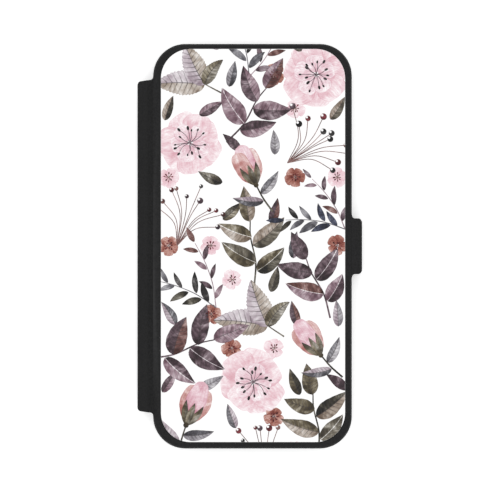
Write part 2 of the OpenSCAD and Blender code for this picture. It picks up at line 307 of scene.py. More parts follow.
leather = leatherMaterial("grainedLeather", leatherLook)
# the spine's skin is darker than the covers' as painted shade
shadedFoldLeather = leatherMaterial("shadedFoldLeather", shadedFoldLook)
pocketLeather = leatherMaterial("pocketLeather", {**leatherLook, "grainSize": 0.45, "grainDepth": 0.05}, 0.95)
lining = liningMaterial("microfibreLining", 0.024)
shellRubber = mouldedMaterial("flexibleShell", 0.014, 0.44)
buttonRubber = mouldedMaterial("buttonRubber", 0.018, 0.36)
board = boardMaterial("greyBoard")
steel = steelMaterial("platedSteel")
tape = tapeMaterial("doubleSidedTape")
thread = threadMaterial("waxedThread", 0.03)
paper = paperMaterial("whitePanel")
inks = inkMaterial("watercolourInks")
print("materials made")


# mesh helpers

def roundRect(w, l, r, cx=0.0, cy=0.0, arcSteps=16, rightStops=(), leftStops=()):
    # counter-clockwise points with their outward normals: (x, y, nx, ny)
    points = []

    def arc(x, y, start):
        for k in range(arcSteps + 1):
            a = math.radians(start + 90 * k / arcSteps)
            points.append((x + r * math.cos(a), y + r * math.sin(a), math.cos(a), math.sin(a)))

    points += [(cx + w / 2, cy + y, 1, 0) for y in sorted(rightStops)]
    arc(cx + w / 2 - r, cy + l / 2 - r, 0)
    arc(cx - w / 2 + r, cy + l / 2 - r, 90)
    points += [(cx - w / 2, cy + y, -1, 0) for y in sorted(leftStops, reverse=True)]
    arc(cx - w / 2 + r, cy - l / 2 + r, 180)
    arc(cx + w / 2 - r, cy - l / 2 + r, 270)
    return points


def addLoop(bm, points, wear=0.0):
    layer = bm.verts.layers.float.get("wear") or bm.verts.layers.float.new("wear")
    made = [bm.verts.new(Vector(p) * mm) for p in points]
    for v in made:
        v[layer] = wear
    return made


def joinLoops(bm, a, b, closed=True):
    count = len(a) if closed else len(a) - 1
    for i in range(count):
        j = (i + 1) % len(a)
        bm.faces.new((a[i], a[j], b[j], b[i]))


def joinAll(bm, loops):
    for a, b in zip(loops, loops[1:]):
        joinLoops(bm, a, b)


# the outline moved outwards by grow, at height z
def offset(outline, grow, z):
    return [(x + nx * grow, y + ny * grow, z) for x, y, nx, ny in outline]


def fillBetween(bm, *loops):
    edges = []
    for loop in loops:
        for i, v in enumerate(loop):
            w = loop[(i + 1) % len(loop)]
            edges.append(bm.edges.get((v, w)) or bm.edges.new((v, w)))
    bmesh.ops.triangle_fill(bm, use_beauty=True, use_dissolve=False, edges=edges)


def addPiece(name, mesh):
    piece = bpy.data.objects.new(name, mesh)
    bpy.context.scene.collection.objects.link(piece)
    return piece


def toPiece(bm, name, material, angle=38):
    bmesh.ops.remove_doubles(bm, verts=bm.verts, dist=0.002 * mm)
    bmesh.ops.dissolve_degenerate(bm, dist=0.0005 * mm, edges=bm.edges)
    bmesh.ops.recalc_face_normals(bm, faces=bm.faces)
    mesh = bpy.data.meshes.new(name)
    bm.to_mesh(mesh)
    bm.free()
    mesh.materials.append(material)
    mesh.shade_smooth()
    mesh.set_sharp_from_angle(angle=math.radians(angle))
    return addPiece(name, mesh)


# a flat plate with rounded edges on its low side, its high side, or both
def slab(name, material, outline, low, high, roundLow=0.0, roundHigh=0.0, steps=4):
    bm = bmesh.new()
    loops = []
    for z, radius, sign in ((low, roundLow, 1), (high, roundHigh, -1)):
        ring = []
        for k in range(steps + 1):
            a = math.pi / 2 * k / steps
            inset = radius * (1 - math.sin(a))
            depth = radius * (1 - math.cos(a))
            ring.append((offset(outline, -inset, z + sign * depth), 0.9 if 0 < k < steps else 0.1))
        loops += ring if sign == 1 else ring[::-1]
    made = [addLoop(bm, points, wear) for points, wear in loops]
    joinAll(bm, made)
    fillBetween(bm, made[0])
    fillBetween(bm, made[-1])
    return toPiece(bm, name, material)


def smooth(x, low, high):
    x = min(1.0, max(0.0, (x - low) / (high - low)))
    return x * x * (3 - 2 * x)


# cover skins: leather turned round the boards' edges

covers = {
    "width": 75.5, "length": 153.8, "cornerRadius": 12.2,
    "skin": 0.7, "board": 1.0, "lining": 0.4, "liningTuck": 0.31, "edgeRound": 0.8, "skirtRound": 0.3,
    "spineOpen": 64.4, "spineStop": 64.6, "strapOpen": 11.9, "blendOut": 1.2,
    "recess": {"width": 70.4, "length": 149.8, "radius": 11.4, "shiftX": 0.2, "shiftY": 0.28,
               "depth": 0.4, "lip": 0.14},
    "window": {"width": 32.0, "length": 34.0, "radius": 9.0, "x": 18.2, "y": 54.2, "round": 0.55},
}


# loops that round a cut edge over from the face into the opening
def rimLoops(bm, outline, faceZ, inward, radius, steps, wears):
    rims = []
    for k in range(steps + 1):
        a = math.pi / 2 * k / steps
        grow, depth = radius * (1 - math.sin(a)), radius * (1 - math.cos(a))
        rims.append(addLoop(bm, offset(outline, grow, faceZ + inward * depth), wears[k]))
    return rims


def coverSkin(name, faceZ, inward, strap, opening):
    c = covers
    openY, strapY, fade = c["spineOpen"], c["strapOpen"], c["blendOut"]
    steps = [0.0, 0.25, 0.5, 0.75, 1.0]
    leftStops = [s * y for y in (c["spineStop"], openY, 40, 15) for s in (1, -1)]
    rightStops = [s * (strapY + fade * k) for k in steps for s in (1, -1)] + [-50, -30, 30, 50]
    ring = roundRect(c["width"], c["length"], c["cornerRadius"], coverX, 0, 26, rightStops, leftStops)
    skirt = c["skin"] + c["board"]
    stations = []
    for x, y, nx, ny in ring:
        roll = 1.0
        if x < coverX:
            roll = smooth(abs(y), openY, openY + fade) if nx < -0.5 else 1.0
        elif strap and nx > 0.5:
            roll = smooth(abs(y), strapY, strapY + fade)
        hanging = 0.0 if (x < coverX and abs(y) < openY + 0.01 and nx < -0.9) else 1.0
        stations.append((x, y, nx, ny, roll, hanging))

    def section(kind, k):
        out = []
        for x, y, nx, ny, roll, hanging in stations:
            deep = skirt if hanging else c["skin"]
            if kind == "edge":
                a = math.pi / 2 * k / 6
                r = c["edgeRound"] * roll
                inset, depth = r * (1 - math.sin(a)), r * (1 - math.cos(a))
            elif kind == "turn":
                a = math.pi / 2 * k / 3
                r = c["skirtRound"] * hanging
                inset, depth = r * (1 - math.cos(a)), deep - r * (1 - math.sin(a))
            elif kind == "hem":
                inset, depth = c["skin"], deep
            else:
                inset, depth = c["skin"], c["skin"]
            out.append((x - nx * inset, y - ny * inset, faceZ + inward * depth))
        return out

    bm = bmesh.new()
    loops = [addLoop(bm, section("edge", k), 0.15 + 0.85 * math.sin(math.pi * k / 6)) for k in range(7)]
    loops += [addLoop(bm, section("turn", k), 0.3) for k in range(4)]
    loops += [addLoop(bm, section("hem", 0)), addLoop(bm, section("ceiling", 0))]
    joinAll(bm, loops)
    if opening == "recess":
        r = c["recess"]
        outline = roundRect(r["width"], r["length"], r["radius"], coverX + r["shiftX"], r["shiftY"], 22)
        rims = rimLoops(bm, outline, faceZ, inward, r["lip"], 3, [0.35] * 4)
        rims.append(addLoop(bm, offset(outline, 0, faceZ + inward * r["depth"])))
        joinAll(bm, rims)
        fillBetween(bm, loops[0], rims[0])
        fillBetween(bm, rims[-1])
        fillBetween(bm, loops[-1])
    else:
        w = c["window"]
        outline = roundRect(w["width"], w["length"], w["radius"], coverX + w["x"], w["y"], 16)
        wears = [0.2 + 0.8 * math.sin(math.pi * k / 4) for k in range(5)]
        rims = rimLoops(bm, outline, faceZ, inward, w["round"], 4, wears)
        for grow, depth in ((0.0, skirt), (c["skin"], skirt), (c["skin"], c["skin"])):
            rims.append(addLoop(bm, offset(outline, grow, faceZ + inward * depth), 0.1))
        joinAll(bm, rims)
        fillBetween(bm, loops[0], rims[0])
        fillBetween(bm, loops[-1], rims[-1])
    return toPiece(bm, name, leather)


frontSkin = coverSkin("frontCoverSkin", frontTop, -1, True, "recess")
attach(frontSkin, "front_cover")
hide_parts("front_skin")
backSkin = coverSkin("backCoverSkin", backBottom, 1, False, "window")
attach(backSkin, "back")
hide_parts("back_skin")
print("cover skins made")


# spine and strap: soft sheets that bend over each fold

folds = {
    "halfThickness": 0.55, "skin": 0.7, "endRound": 0.3, "bend": 1.9,
    "spineHalf": 63.2, "spineDraw": 0.3, "spineFillet": 1.2, "spineCorner": 0.8, "spineReach": 6.0,
    "creaseInset": 1.28, "creaseBend": 2.15, "tipInset": 0.86, "tipBend": 3.35, "blendLead": 0.15,
    "spineCreaseWidth": 1.7, "strapCreaseWidth": 1.5,
    "strapHalf": 10.6, "strapFillet": 1.3, "strapCorner": 1.1, "strapOut": 0.2,
    "strapBlendIn": 1.0, "strapBlendDown": 2.8,
}
coverLeft = coverX - covers["width"] / 2
coverRight = coverX + covers["width"] / 2
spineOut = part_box("spine_skin_lower")[0].x / mm
spineOut = min(spineOut, coverLeft - folds["spineReach"])
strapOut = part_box("strap_bridge_skin")[1].x / mm
highZ = frontTop - folds["halfThickness"]
lowZ = backBottom + folds["halfThickness"]


# a path of straight lines with rounded corners: [(x, z, radius at that corner)]
def roundedPath(corners, spacing=0.4):
    points = []
    for i, (x, z, radius) in enumerate(corners):
        here = Vector((x, z))
        if radius == 0:
            points.append(here)
            continue
        before = (Vector(corners[i - 1][:2]) - here).normalized()
        after = (Vector(corners[i + 1][:2]) - here).normalized()
        half = before.angle(after) / 2
        reach = radius / math.tan(half)
        centre = here + (before + after).normalized() * (radius / math.sin(half))
        start, end = here + before * reach - centre, here + after * reach - centre
        turn = start.angle_signed(end)
        count = max(6, int(abs(turn) * radius / spacing))
        for k in range(count + 1):
            a = -turn * k / count
            points.append(centre + Vector((start.x * math.cos(a) - start.y * math.sin(a),
                                           start.x * math.sin(a) + start.y * math.cos(a))))
    dense = [points[0]]
    for p in points[1:]:
        gap = (p - dense[-1]).length
        for k in range(1, max(1, round(gap / spacing)) + 1):
            dense.append(dense[-1].lerp(p, 1 / (max(1, round(gap / spacing)) - k + 1)))
    return [p for i, p in enumerate(dense) if i == 0 or (p - dense[i - 1]).length > 1e-4]


# outward normals of the path, for a path that runs from the front cover round to the back
def pathNormals(path, flip):
    normals = []
    for i in range(len(path)):
        t = (path[min(i + 1, len(path) - 1)] - path[max(i - 1, 0)]).normalized()
        normals.append(Vector((t.y, -t.x)) * flip)
    return normals


def foldSheet(name, material, path, normals, halfLengths, creases, low, high, columns=40):
    bm = bmesh.new()
    wearLayer = bm.verts.layers.float.new("wear")
    creaseLayer = bm.verts.layers.float.new("crease")
    end = folds["endRound"]
    middle = (low + high) / 2
    grid = {1: [], 0: []}
    for side in (1, 0):
        for p, n, half, crease in zip(path, normals, halfLengths, creases):
            row = []
            spots = [(-half, 0.45), (-half + end * 0.3, 0.82), (-half + end, 1.0)]
            inner = [(-half + end) + (2 * half - 2 * end) * k / columns for k in range(1, columns)]
            spots += [(y, 1.0) for y in inner]
            spots += [(half - end, 1.0), (half - end * 0.3, 0.82), (half, 0.45)]
            for y, full in spots:
                rise = middle + ((high if side else low) - middle) * full
                v = bm.verts.new(Vector((p.x + n.x * rise, y, p.y + n.y * rise)) * mm)
                v[wearLayer] = 0.8 * (1 - full) / 0.55 if full < 1 else 0.0
                v[creaseLayer] = crease
                row.append(v)
            grid[side].append(row)
    for side in (1, 0):
        for a, b in zip(grid[side], grid[side][1:]):
            joinLoops(bm, a, b, closed=False)
    for row in (0, -1):
        joinLoops(bm, grid[0][row], grid[1][row], closed=False)
    for column in (0, -1):
        joinLoops(bm, [r[column] for r in grid[0]], [r[column] for r in grid[1]], closed=False)
    return toPiece(bm, name, material)


def nearest(path, x, z):
    return min(range(len(path)), key=lambda i: (path[i] - Vector((x, z))).length)


# spine: it leaves each cover flat, leans out over the crease and rounds over where it stands out most
bendX = coverLeft - folds["creaseInset"]
tipX = spineOut + folds["halfThickness"] - folds["tipInset"]
midZ = (highZ + lowZ) / 2
spinePath = roundedPath([(coverLeft, highZ, 0), (bendX, highZ, folds["creaseBend"]),
                         (tipX, midZ, folds["tipBend"]), (bendX, lowZ, folds["creaseBend"]),
                         (coverLeft, lowZ, 0)])
spineNormals = pathNormals(spinePath, 1)
spineHalves = []
for p in spinePath:
    out = coverLeft - p.x
    half = folds["spineHalf"] - folds["spineDraw"] * smooth(out, 1.0, 5.4)
    if out < folds["spineFillet"]:
        r = folds["spineFillet"]
        half += r - math.sqrt(max(0.0, r * r - (r - out) ** 2))
    edge = folds["spineCorner"] - (p.x - folds["halfThickness"] * 0.9 - spineOut)
    if edge > 0:
        r = folds["spineCorner"]
        half -= r - math.sqrt(max(0.0, r * r - min(edge, r) ** 2))
    spineHalves.append(half)
spineHinges = [Vector((j["pos_m"][0] / mm, j["pos_m"][2] / mm))
               for name in ("spine_fold_high", "spine_fold_middle", "spine_fold_low")
               for j in frame["joints"] if j["name"] == name]
spineCreases = [min(1.0, sum(math.exp(-((p - h).length / folds["spineCreaseWidth"]) ** 2)
                             for h in spineHinges)) * 0.8 + 0.2 for p in spinePath]
upperMiddle = nearest(spinePath, (bendX + tipX) / 2, (highZ + midZ) / 2)
lowerMiddle = nearest(spinePath, (bendX + tipX) / 2, (lowZ + midZ) / 2)
spineCuts = [
    ("High", 0, upperMiddle, "spine_upper", "front_cover", "upper"),
    ("Middle", upperMiddle, lowerMiddle, "spine_lower", "spine_upper", None),
    ("Low", lowerMiddle, len(spinePath) - 1, "back", "spine_lower", "lower"),
]
skinLow = folds["halfThickness"] - folds["skin"]
for label, first, last, bodyA, bodyB, cadName in spineCuts:
    part = slice(first, last + 1)
    ends = [spinePath[first], spinePath[last]]
    if label != "Middle":
        pull = 0 if label == "High" else 1
        ends[pull] = ends[pull] - Vector((folds["blendLead"], 0))
    finish, start = ends
    for layer, material, low, high in (("Skin", shadedFoldLeather, skinLow, folds["halfThickness"]),
                                       ("Lining", lining, -folds["halfThickness"], skinLow)):
        sheet = foldSheet("spine" + layer + label, material, spinePath[part], spineNormals[part],
                          spineHalves[part], spineCreases[part], low, high)
        if cadName:
            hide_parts("spine_" + layer.lower() + "_" + cadName)
        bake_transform(sheet, bodyA, bodyB, start=(start.x * mm, 0, start.y * mm),
                 end=(finish.x * mm, 0, finish.y * mm))
print("spine made")

# strap: flat off the cover, a quarter bend, a straight bridge and a quarter bend back under
strapMid = strapOut - folds["halfThickness"] + folds["strapOut"]
footZ = folds["halfThickness"]
tipJoin = coverX + 36.5
strapPath = roundedPath([(coverRight, highZ, 0), (strapMid, highZ, folds["bend"]),
                         (strapMid, footZ, folds["bend"]), (tipJoin, footZ, 0)])
strapNormals = pathNormals(strapPath, -1)
strapHalves = []
for i, p in enumerate(strapPath):
    out = p.x - coverRight
    half = folds["strapHalf"]
    if p.y > midZ and out < folds["strapFillet"]:
        r = folds["strapFillet"]
        half += r - math.sqrt(max(0.0, r * r - (r - max(out, 0)) ** 2))
    edge = p.x + strapNormals[i].x * folds["halfThickness"] - (strapOut - folds["strapCorner"])
    if edge > 0:
        r = folds["strapCorner"]
        half -= 0.9 * (r - math.sqrt(max(0.0, r * r - min(edge, r) ** 2)))
    strapHalves.append(half)
strapHinges = [Vector((j["pos_m"][0] / mm, j["pos_m"][2] / mm))
               for j in frame["joints"] if j["name"].startswith("strap_fold")]
strapCreases = [min(1.0, sum(math.exp(-((p - h).length / folds["strapCreaseWidth"]) ** 2)
                             for h in strapHinges)) for p in strapPath]
bridgeMiddle = nearest(strapPath, strapMid, (highZ + footZ) / 2)
blendX, blendDown = coverRight + folds["strapBlendIn"], folds["strapBlendDown"]
strapCuts = [
    ("Top", 0, bridgeMiddle, "front_cover", "strap_bridge", (blendX, highZ), (strapMid, highZ - blendDown),
     {"Skin": ["strap_bridge_skin"], "Lining": ["strap_bridge_lining", "strap_root_lining"]}),
    ("Low", bridgeMiddle, len(strapPath) - 1, "strap_bridge", "strap_tip", (strapMid, footZ + blendDown),
     (blendX, footZ), {"Skin": [], "Lining": []}),
]
for label, first, last, bodyA, bodyB, start, finish, stands in strapCuts:
    part = slice(first, last + 1)
    for layer, material, low, high in (("Skin", leather, skinLow, folds["halfThickness"]),
                                       ("Lining", lining, -folds["halfThickness"], skinLow)):
        sheet = foldSheet("strap" + layer + label, material, strapPath[part], strapNormals[part],
                          strapHalves[part], strapCreases[part], low, high, columns=12)
        if stands[layer]:
            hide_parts(*stands[layer])
        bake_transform(sheet, bodyA, bodyB, start=(start[0] * mm, 0, start[1] * mm),
                 end=(finish[0] * mm, 0, finish[1] * mm))

strapTip = {"cornerRadius": 5.0, "rootHalf": 9.0, "edge": 0.32, "hiddenEdge": 0.05, "liningEdge": 0.45,
            "top": 2.0, "skin": 0.7}
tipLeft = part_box("strap_tip_skin")[0].x / mm
tipHalf, tipRound, rootHalf = folds["strapHalf"], strapTip["cornerRadius"], strapTip["rootHalf"]
tipOutline = []
for centreY, begin in ((tipHalf - tipRound, 90), (tipRound - tipHalf, 180)):
    for k in range(13):
        a = math.radians(begin + 90 * k / 12)
        tipOutline.append((tipLeft + tipRound * (1 + math.cos(a)), centreY + tipRound * math.sin(a),
                           math.cos(a), math.sin(a)))
tipOutline += [(tipJoin, -tipHalf, 0, -1), (tipJoin, -rootHalf, 0, 0), (tipJoin, rootHalf, 0, 0),
               (tipJoin, tipHalf, 0, 1)]
tipSkin = slab("strapTipSkin", leather, tipOutline, 0, strapTip["skin"], strapTip["edge"],
               strapTip["hiddenEdge"])
tipLining = slab("strapTipLining", lining, tipOutline, strapTip["skin"], strapTip["top"], strapTip["hiddenEdge"],
                 strapTip["liningEdge"])
for piece, node in ((tipSkin, "strap_tip_skin"), (tipLining, "strap_tip_lining")):
    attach(piece, "strap_tip")
    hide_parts(node)
print("strap made")


# linings, pockets and their stitches

pockets = {
    "cornerRadius": 8.0, "notchRadius": 8.0, "cardCorner": 1.2, "edge": 0.16,
    "note": {"left": -30.0, "right": 34.0, "half": 72.9},
    "cards": {"left": -24.0, "step": 9.0, "right": 31.0, "half": 47.0},
    "stitchPitch": 2.7, "stitchLength": 1.9, "threadWidth": 0.42, "stitchInset": 1.6, "mouth": 3.5, "seed": 7,
}


def liningSheet(name, faceZ, inward, window):
    c = covers
    inset = c["skin"] - c["liningTuck"]
    ring = roundRect(c["width"] - 2 * inset, c["length"] - 2 * inset, c["cornerRadius"] - inset, coverX, 0, 22)
    bm = bmesh.new()
    levels = [(0.0, 0.0), (0.0, 0.25), (0.05, 0.36), (0.15, c["lining"])]
    loops = [addLoop(bm, offset(ring, -i, faceZ + inward * d)) for i, d in levels]
    joinAll(bm, loops)
    if window:
        w = c["window"]
        hole = roundRect(w["width"], w["length"], w["radius"], coverX + w["x"], w["y"], 16)
        rims = [addLoop(bm, offset(hole, 0, faceZ + inward * d)) for d in (0.0, c["lining"])]
        joinLoops(bm, rims[0], rims[1])
        fillBetween(bm, loops[0], rims[0])
        fillBetween(bm, loops[-1], rims[-1])
    else:
        fillBetween(bm, loops[0])
        fillBetween(bm, loops[-1])
    return toPiece(bm, name, lining)


# the step of lining that runs over the board's edge down to the spine
boardStep = {"pastOpening": 0.1, "proud": 0.02, "round": 0.12, "land": 0.6, "thickness": 0.39, "shoulder": 0.9}


def liningStep(bm, faceZ, inward):
    half = covers["spineOpen"] + boardStep["pastOpening"]
    foot, cloth = covers["skin"], covers["lining"]
    top = foot + covers["board"] + cloth
    outer, land = coverLeft - boardStep["proud"], coverLeft + boardStep["land"]
    inner = coverLeft + boardStep["thickness"]
    section = [(outer, foot), (outer, foot + cloth), (coverLeft, top - boardStep["round"]),
               (coverLeft + boardStep["round"], top), (land, top), (land, top - cloth),
               (inner, foot + boardStep["shoulder"]), (inner, foot)]
    rings = [addLoop(bm, [(px, y, faceZ + inward * d) for px, d in section]) for y in (-half, half)]
    joinLoops(bm, rings[0], rings[1])
    bm.faces.new(rings[0])
    bm.faces.new(rings[1])


for name, faceZ, inward, window, body, node in (
        ("frontCoverLining", frontTop, -1, False, "front_cover", "front_lining"),
        ("backCoverLining", backBottom, 1, True, "back", "back_lining")):
    skirt = covers["skin"] + covers["board"]
    piece = liningSheet(name, faceZ + inward * skirt, inward, window)
    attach(piece, body)
    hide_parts(node)
    bm = bmesh.new()
    liningStep(bm, faceZ, inward)
    edge = toPiece(bm, name + "Edge", lining)
    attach(edge, body)


# a card pocket's outline, counter-clockwise, with a thumb notch in its open edge
def notched(left, right, half, radius, corner):
    points = []

    def turn(x, y, start):
        for k in range(6):
            a = math.radians(start + 90 * k / 5)
            points.append((x + corner * math.cos(a), y + corner * math.sin(a), math.cos(a), math.sin(a)))

    turn(right - corner, half - corner, 0)
    turn(left + corner, half - corner, 90)
    points.append((left, radius + corner, -1, 0))
    for k in range(17):
        a = math.radians(90 - 180 * k / 16)
        points.append((left + radius * math.cos(a), radius * math.sin(a), -math.cos(a), -math.sin(a)))
    points.append((left, -radius - corner, -1, 0))
    turn(left + corner, corner - half, 180)
    turn(right - corner, corner - half, 270)
    return points


note = pockets["note"]
noteLow, noteHigh = heightOf("note_pocket", 0), heightOf("note_pocket", 1)
noteOutline = roundRect(note["right"] - note["left"], 2 * note["half"], pockets["cornerRadius"],
                        coverX + (note["right"] + note["left"]) / 2, 0, 14)
notePiece = slab("notePocket", pocketLeather, noteOutline, noteLow, noteHigh, pockets["edge"])
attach(notePiece, "front_cover")
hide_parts("note_pocket")
cards = pockets["cards"]
for i in range(3):
    node = "card_pocket_" + str(i + 1)
    outline = notched(coverX + cards["left"] + i * cards["step"], coverX + cards["right"], cards["half"],
                      pockets["notchRadius"], pockets["cardCorner"])
    piece = slab("cardPocket" + str(i + 1), pocketLeather, outline, heightOf(node, 0), heightOf(node, 1),
                 pockets["edge"])
    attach(piece, "front_cover")
    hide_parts(node)


# a node tree: its named sizes, its nodes with their settings and values, and the links between them
def growTree(name, sizes, kinds, links):
    tree = bpy.data.node_groups.new(name, "GeometryNodeTree")
    face = tree.interface
    face.new_socket("Geometry", in_out="INPUT", socket_type="NodeSocketGeometry")
    ids = {label: face.new_socket(label, in_out="INPUT", socket_type=kind).identifier for label, kind in sizes}
    face.new_socket("Geometry", in_out="OUTPUT", socket_type="NodeSocketGeometry")
    made = {"start": tree.nodes.new("NodeGroupInput"), "end": tree.nodes.new("NodeGroupOutput")}
    for key, kind, settings, values in kinds:
        made[key] = tree.nodes.new(kind)
        for setting, value in settings.items():
            setattr(made[key], setting, value)
        for socket, value in values.items():
            made[key].inputs[socket].default_value = value
    for source, output, target, socket in links:
        tree.links.new(made[source].outputs[output], made[target].inputs[socket])
    return tree, ids


# what the tree makes of the source, as a plain mesh
def grown(name, source, tree, ids, values):
    bpy.context.scene.collection.objects.link(source)
    modifier = source.modifiers.new(name, "NODES")
    modifier.node_group = tree
    for label, value in values.items():
        modifier[ids[label]] = value
    graph = bpy.context.evaluated_depsgraph_get()
    mesh = bpy.data.meshes.new_from_object(source.evaluated_get(graph))
    bpy.data.objects.remove(source)
    mesh.name = name
    return addPiece(name, mesh)


# stitches: one capsule of thread for each pitch along the seam lines
stitchTree = growTree("stitches", (
    ("Pitch", "NodeSocketFloat"), ("Stitch length", "NodeSocketFloat"), ("Thread width", "NodeSocketFloat"),
    ("Seed", "NodeSocketInt")), (
    ("points", "GeometryNodeCurveToPoints", {"mode": "LENGTH"}, {}),
    ("thread", "GeometryNodeMeshUVSphere", {}, {"Segments": 8, "Rings": 6, "Radius": 0.5}),
    ("size", "ShaderNodeCombineXYZ", {}, {}),
    ("jitter", "FunctionNodeRandomValue", {"data_type": "FLOAT_VECTOR"},
     {0: (-0.02, -0.02, -0.05), 1: (0.02, 0.02, 0.05)}),
    ("turn", "FunctionNodeRotateRotation", {}, {}),
    ("turned", "FunctionNodeEulerToRotation", {}, {}),
    ("align", "FunctionNodeAlignRotationToVector", {"axis": "X"}, {}),
    ("place", "GeometryNodeInstanceOnPoints", {}, {}),
    ("real", "GeometryNodeRealizeInstances", {}, {}),
    ("smooth", "GeometryNodeSetShadeSmooth", {}, {}),
    ("paint", "GeometryNodeSetMaterial", {}, {"Material": thread})), (
    ("start", "Geometry", "points", "Curve"), ("start", "Pitch", "points", "Length"),
    ("start", "Stitch length", "size", 0), ("start", "Thread width", "size", 1),
    ("start", "Thread width", "size", 2), ("start", "Seed", "jitter", "Seed"),
    ("points", "Tangent", "align", "Vector"), ("jitter", 0, "turned", 0), ("align", 0, "turn", 0),
    ("turned", 0, "turn", 1), ("points", "Points", "place", "Points"), ("thread", "Mesh", "place", "Instance"),
    ("turn", 0, "place", "Rotation"), ("size", 0, "place", "Scale"), ("place", 0, "real", 0),
    ("real", 0, "smooth", 0), ("smooth", 0, "paint", 0), ("paint", 0, "end", 0)))


def stitched(name, lines, body):
    curve = bpy.data.curves.new(name + "Path", "CURVE")
    curve.dimensions = "3D"
    for line in lines:
        spline = curve.splines.new("POLY")
        spline.points.add(len(line) - 1)
        for point, p in zip(spline.points, line):
            point.co = (p[0] * mm, p[1] * mm, p[2] * mm, 1)
    piece = grown(name, bpy.data.objects.new(name + "Path", curve), *stitchTree, {
        "Pitch": pockets["stitchPitch"] * mm, "Stitch length": pockets["stitchLength"] * mm,
        "Thread width": pockets["threadWidth"] * mm, "Seed": pockets["seed"]})
    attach(piece, body)
    return piece


inset = pockets["stitchInset"]
cardZ = [heightOf("card_pocket_" + str(i), 0) for i in (1, 2, 3)]
seams = []
right = coverX + cards["right"] - inset
for side in (1, -1):
    y = side * (cards["half"] - inset)
    for i in range(3):
        x0 = coverX + cards["left"] + i * cards["step"] + 1.2
        x1 = x0 + cards["step"] - 1.8 if i < 2 else right
        seams.append([(x0, y, cardZ[i]), (x1, y, cardZ[i])])
seams.append([(right, -cards["half"] + inset + 1.4, cardZ[2]), (right, cards["half"] - inset - 1.4, cardZ[2])])
noteSeam = [p for p in offset(noteOutline, -inset, noteLow) if p[0] > coverX + note["left"] + pockets["mouth"]]
split = max(range(len(noteSeam)), key=lambda i: (Vector(noteSeam[i][:2]) - Vector(noteSeam[i - 1][:2])).length
            if noteSeam[i][0] < coverX else 0)
noteSeam = noteSeam[split:] + noteSeam[:split]
seams.append(noteSeam)
stitched("pocketStitches", seams, "front_cover")
print("pockets and stitches made")


# phone tray and buttons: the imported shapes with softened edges

moulding = {"trayEdge": 0.3, "traySteps": 2, "buttonEdge": 0.35, "buttonSteps": 3, "floor": 1.0,
            "dotPitch": 2.4, "dotSize": 0.9, "dotHeight": 0.12, "dotMargin": 2.5,
            "dotField": (33.6, 71), "fieldCorner": (25, 62.5), "fieldRound": 8.5}


def softened(node, name, material, width, body, steps):
    bm = bmesh.new()
    bm.from_mesh(frame["nodes"][node].data)
    bmesh.ops.remove_doubles(bm, verts=bm.verts, dist=0.001 * mm)
    bmesh.ops.dissolve_limit(bm, angle_limit=math.radians(0.6), verts=bm.verts, edges=bm.edges)
    mesh = bpy.data.meshes.new(name)
    bm.to_mesh(mesh)
    bm.free()
    mesh.materials.clear()
    mesh.materials.append(material)
    mesh.shade_smooth()
    piece = addPiece(name, mesh)
    bevel = piece.modifiers.new("softEdge", "BEVEL")
    bevel.width = width * mm
    bevel.segments = steps
    bevel.limit_method = "ANGLE"
    bevel.angle_limit = math.radians(40)
    bevel.harden_normals = True
    graph = bpy.context.evaluated_depsgraph_get()
    final = bpy.data.meshes.new_from_object(piece.evaluated_get(graph))
    piece.modifiers.clear()
    piece.data = final
    final.set_sharp_from_angle(angle=math.radians(44))
    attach(piece, body)
    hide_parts(node)
    return piece


softened("phone_tray", "phoneTray", shellRubber, moulding["trayEdge"], "back",
         moulding["traySteps"])
for node, name, body in (("volume_up_button", "volumeUpButton", "volume_up"),
                         ("volume_down_button", "volumeDownButton", "volume_down"),
                         ("side_button", "sideButton", "side_key")):
    softened(node, name, buttonRubber, moulding["buttonEdge"], body,
             moulding["buttonSteps"])


# small raised dots that keep the phone's back off the tray's floor
dotTree = growTree("floorDots", (("Dot size", "NodeSocketFloat"), ("Dot height", "NodeSocketFloat")), (
    ("points", "GeometryNodeMeshToPoints", {}, {}),
    ("dot", "GeometryNodeMeshUVSphere", {}, {"Segments": 8, "Rings": 4, "Radius": 0.5}),
    ("size", "ShaderNodeCombineXYZ", {}, {}),
    ("place", "GeometryNodeInstanceOnPoints", {}, {}),
    ("real", "GeometryNodeRealizeInstances", {}, {}),
    ("smooth", "GeometryNodeSetShadeSmooth", {}, {}),
    ("paint", "GeometryNodeSetMaterial", {}, {"Material": shellRubber})), (
    ("start", "Geometry", "points", 0), ("start", "Dot size", "size", 0), ("start", "Dot size", "size", 1),
    ("start", "Dot height", "size", 2), ("points", 0, "place", "Points"), ("dot", "Mesh", "place", "Instance"),
    ("size", 0, "place", "Scale"), ("place", 0, "real", 0), ("real", 0, "smooth", 0),
    ("smooth", 0, "paint", 0), ("paint", 0, "end", 0)))
trayFloor = heightOf("phone_tray", 0) + moulding["floor"]
window, margin, pitch = covers["window"], moulding["dotMargin"], moulding["dotPitch"]
fieldX, fieldY = moulding["dotField"]
cornerX, cornerY = moulding["fieldCorner"]
spots = []
for row in range(-29, 30):
    for column in range(-14, 15):
        x = column * pitch + (pitch / 2 if row % 2 else 0)
        y = row * pitch
        nearWindow = (abs(x - window["x"]) < window["width"] / 2 + margin
                      and abs(y - window["y"]) < window["length"] / 2 + margin)
        corner = math.hypot(max(0, abs(x) - cornerX), max(0, abs(y) - cornerY))
        if abs(x) < fieldX and abs(y) < fieldY and not nearWindow and corner < moulding["fieldRound"]:
            spots.append((x, y))
dotMesh = bpy.data.meshes.new("dotSpots")
dotMesh.from_pydata([((coverX + x) * mm, y * mm, trayFloor * mm) for x, y in spots], [], [])
dots = grown("trayFloorDots", bpy.data.objects.new("dotSpots", dotMesh), *dotTree, {
    "Dot size": moulding["dotSize"] * mm, "Dot height": moulding["dotHeight"] * 2 * mm})
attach(dots, "back")

